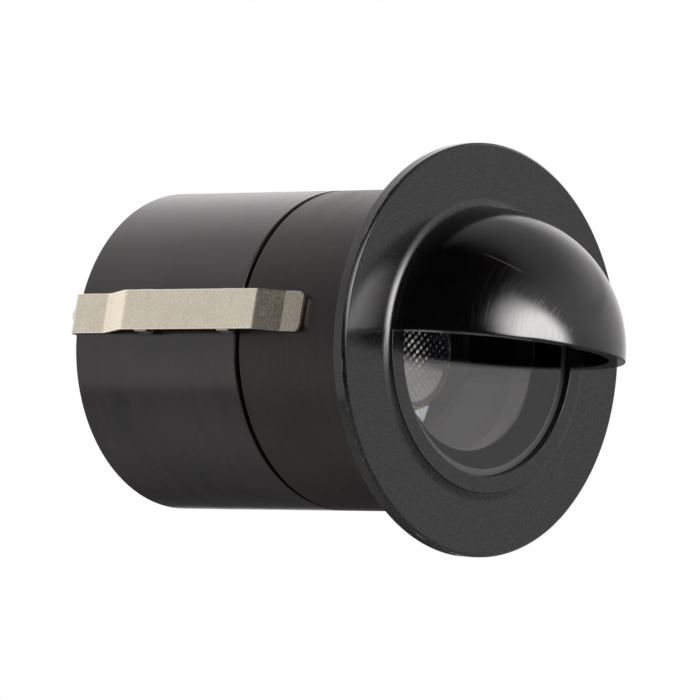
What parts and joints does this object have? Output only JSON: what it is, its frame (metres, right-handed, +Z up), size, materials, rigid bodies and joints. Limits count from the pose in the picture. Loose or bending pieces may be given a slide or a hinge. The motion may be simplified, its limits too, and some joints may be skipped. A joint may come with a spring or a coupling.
{
  "type": "in-ground light",
  "caption": "Round recessed light: black flange with a half-dome eyelid over thick glass, a body that unscrews at its seam, side spring clips and a rear cable gland.",
  "frame": {"origin": "centre of the flange's back face, where it seats on the rim of the recess", "axes": "+Y runs back into the recess along the body, the light leaves towards -Y, and +Z is up, with the eyelid on top"},
  "size_m": [0.06, 0.0927, 0.06],
  "materials": {
    "black_anodised": "fine turned, semi-gloss black anodised",
    "clear_glass": "polished",
    "black_rubber": "matt",
    "black_sealant": "glossy",
    "bare_aluminium": "turned",
    "grey_pad": "matt",
    "white_board": "white solder mask",
    "phosphor": "clear dome over yellow phosphor",
    "zinc_screw": "bright plated",
    "black_holder": "matt black moulding",
    "clear_optic": "polished clear acrylic",
    "red_lead": "insulated",
    "black_lead": "insulated",
    "cream_plastic": "moulded",
    "green_board": "solder mask",
    "ferrite": "matt",
    "blue_sleeve": "printed sleeve without marks",
    "chip_black": "moulded",
    "green_terminal": "moulded",
    "plated_brass": "nickel plated",
    "spring_steel": "bare, faintly tumbled"
  },
  "bodies": {
    "housing": {"rear_housing": "black_anodised", "heat_sink": "bare_aluminium", "thermal_pad": "grey_pad", "led_board": "white_board", "led_chip": "phosphor", "board_screws": "zinc_screw", "optic_holder": "black_holder", "tir_optic": "clear_optic", "led_lead_plus": "red_lead", "led_lead_minus": "black_lead", "driver_tray": "cream_plastic", "driver_board": "green_board", "driver_inductor": "ferrite", "driver_capacitor": "blue_sleeve", "driver_rectifier": "chip_black", "driver_controller": "chip_black", "input_terminal": "green_terminal", "terminal_screws": "zinc_screw", "gland_washer": "black_rubber", "gland_body": "plated_brass", "gland_bush": "black_rubber", "gland_nut": "plated_brass", "clip_screws": "zinc_screw"},
    "seal": {"collar_o_ring": "black_rubber"},
    "bezel": {"eyelid_faceplate": "black_anodised", "lens_glass": "clear_glass", "lens_gasket": "black_rubber", "lens_edge_seal": "black_sealant", "faceplate_o_ring": "black_rubber", "front_collar": "black_anodised"},
    "clip_left": {"spring_clip_left": "spring_steel"},
    "clip_right": {"spring_clip_right": "spring_steel"}
  },
  "joints": [
    {"name": "bezel_travel", "type": "slide", "parent": "housing", "child": "seal", "axis": [0, -1, 0], "range_m": [0, 0.0075]},
    {"name": "bezel_turn", "type": "hinge", "parent": "seal", "child": "bezel", "pos_m": [0, 0, 0], "axis": [0, -1, 0], "range_deg": [0, 1800]},
    {"name": "clip_left_press", "type": "slide", "parent": "housing", "child": "clip_left", "axis": [0.9959, 0, -0.0906], "range_m": [0, 0.0009], "stiffness_N_per_m": 2000, "deforming": ["spring_clip_left"]},
    {"name": "clip_right_press", "type": "slide", "parent": "housing", "child": "clip_right", "axis": [-0.9959, 0, 0.0906], "range_m": [0, 0.0009], "stiffness_N_per_m": 2000, "deforming": ["spring_clip_right"]}
  ],
  "couplings": [
    {"joint": "bezel_travel", "follows": "bezel_turn", "m_per_rad": 0.00023873}
  ]
}
